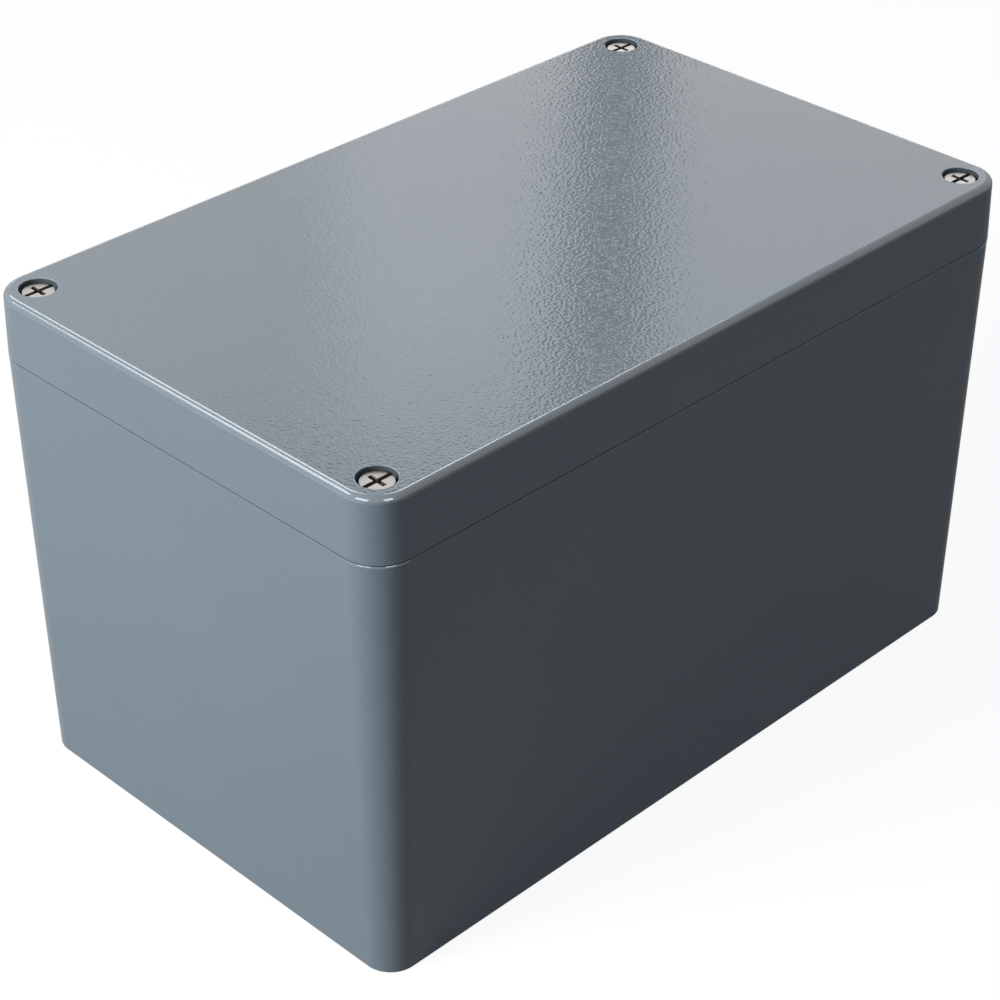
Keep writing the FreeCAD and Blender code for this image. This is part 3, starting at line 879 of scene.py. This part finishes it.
world = bpy.data.worlds.new("white_studio")
bpy.context.scene.world = world
world.use_nodes = True
tree = world.node_tree
tree.nodes.clear()
output = tree.nodes.new("ShaderNodeOutputWorld")
dim = add(tree, "ShaderNodeBackground", Color=hex_colour("#FFFFFF"), Strength=AMBIENT)
white = add(tree, "ShaderNodeBackground", Color=hex_colour("#FFFFFF"), Strength=1.0)
in_view = seen(tree, ["Is Camera Ray", "Is Glossy Ray", "Is Transmission Ray"])
shown = blend_shaders(tree, in_view, dim.outputs[0], white.outputs[0])
tree.links.new(shown, output.inputs["Surface"])

# Lights: soft boxes, each given by where it stands round the box and how much sky it fills. A near key
# lights the left side and a weak one hangs overhead. The gloss shows the reflection cards in their place.
SOFT_BOXES = {
    # name: distance, direction from +X, elevation, width and height in degrees, brightness
    "key": (1.0, 168, 22, 24, 18, 14.8),
    "overhead": (9.0, 45, 78, 24, 20, 0.5),
}
# Power of a square metre of lamp at a brightness of one
WATTS_PER_BRIGHTNESS = 4
centre = (cad_low + cad_high) / 2


def panel_size(distance, elevation, width, height):
    """Sizes of a panel that fills a width and a height in degrees, seen from the box."""
    across = 2 * distance * math.tan(math.radians(width / 2)) * math.cos(math.radians(elevation))
    return across, 2 * distance * math.tan(math.radians(height / 2))


def stand(piece, distance, direction, elevation):
    """Put a lamp or a card into the scene, on a sphere round the box and turned towards it."""
    a, e = math.radians(direction), math.radians(elevation)
    out_to = Vector((math.cos(a) * math.cos(e), math.sin(a) * math.cos(e), math.sin(e)))
    piece.location = centre + out_to * distance
    piece.rotation_euler = out_to.to_track_quat("Z", "Y").to_euler()
    bpy.context.scene.collection.objects.link(piece)


for name, (distance, direction, elevation, width, height, brightness) in SOFT_BOXES.items():
    lamp = bpy.data.lights.new(name, "AREA")
    lamp.shape = "RECTANGLE"
    lamp.size, lamp.size_y = panel_size(distance, elevation, width, height)
    lamp.energy = WATTS_PER_BRIGHTNESS * lamp.size * lamp.size_y * brightness
    soft_box = bpy.data.objects.new(name, lamp)
    soft_box.visible_camera = False
    soft_box.visible_glossy = False
    stand(soft_box, distance, direction, elevation)

# Reflection cards: lit panels that show in the coat's gloss and light nothing. Two groups behind the box
# leave a dark gap between them. The edge and corner cards draw the bright lines and strokes along the
# castings' edges, and show in the castings alone.
CARD_DISTANCE = 9.0
REFLECTION_CARDS = {
    # name: direction from +X, elevation, width and height in degrees, brightness
    "card_left_inner_low": (46.35, 17, 6.6, 20, 3.9),
    "card_left_inner_high": (46.43, 30.75, 6.44, 7.5, 4.9),
    "card_left_outer_low": (57.5, 17, 15.7, 20, 3.0),
    "card_left_outer_high": (57.5, 30.75, 15.7, 7.5, 3.6),
    "card_right_low": (34.8, 17, 12.3, 20, 3.65),
    "card_right_high": (35.05, 30.75, 12.8, 7.5, 4.5),
    "edge_card_left": (70, 44, 28, 24, 5.5),
    "edge_card_front": (36, 47, 18, 18, 7.0),
    "edge_card_side": (132, 36, 24, 20, 6.0),
    "corner_card_left": (186, 28, 34, 26, 7.0),
    "corner_card_right": (255, 32, 24, 26, 7.0),
}
castings = bpy.data.collections.new("castings")
castings.objects.link(base)
castings.objects.link(lid)
for name, (direction, elevation, width, height, brightness) in REFLECTION_CARDS.items():
    lit, tree, output = new_material(name)
    lit.cycles.emission_sampling = "NONE"
    glow = add(tree, "ShaderNodeEmission", Color=hex_colour("#FFFFFF"), Strength=brightness)
    tree.links.new(glow.outputs["Emission"], output.inputs["Surface"])
    across, up = panel_size(CARD_DISTANCE, elevation, width, height)
    panel = bpy.data.meshes.new(name)
    panel.from_pydata([(sx * across / 2, sy * up / 2, 0) for sx, sy in SIDES], [], [(0, 1, 2, 3)])
    panel.materials.append(lit)
    card = bpy.data.objects.new(name, panel)
    card.visible_camera = False
    card.visible_diffuse = False
    card.visible_transmission = False
    card.visible_shadow = False
    if name.startswith(("edge", "corner")):
        card.light_linking.receiver_collection = castings
    stand(card, CARD_DISTANCE, direction, elevation)

# Camera: a long lens held level, which looks down at the front left corner from the photograph's angle,
# with the whole box in the frame
CAMERA_AZIMUTH = math.radians(-45.0)
CAMERA_ELEVATION = math.radians(32.987)
CAMERA_DISTANCE = 0.870
LOOK_AT = Vector((0.02814, 0.03511, 0.03594))
FOCAL_LENGTH = 95.15
SENSOR_WIDTH = 36.0
camera = bpy.data.objects.new("camera", bpy.data.cameras.new("camera"))
camera.data.lens = FOCAL_LENGTH
camera.data.sensor_width = SENSOR_WIDTH
level = math.cos(CAMERA_ELEVATION)
towards = Vector(
    (
        math.sin(CAMERA_AZIMUTH) * level,
        -math.cos(CAMERA_AZIMUTH) * level,
        math.sin(CAMERA_ELEVATION),
    )
)
camera.location = LOOK_AT + towards * CAMERA_DISTANCE
camera.rotation_euler = towards.to_track_quat("Z", "Y").to_euler()
bpy.context.scene.collection.objects.link(camera)
bpy.context.scene.camera = camera
bpy.context.scene.view_settings.view_transform = "Standard"
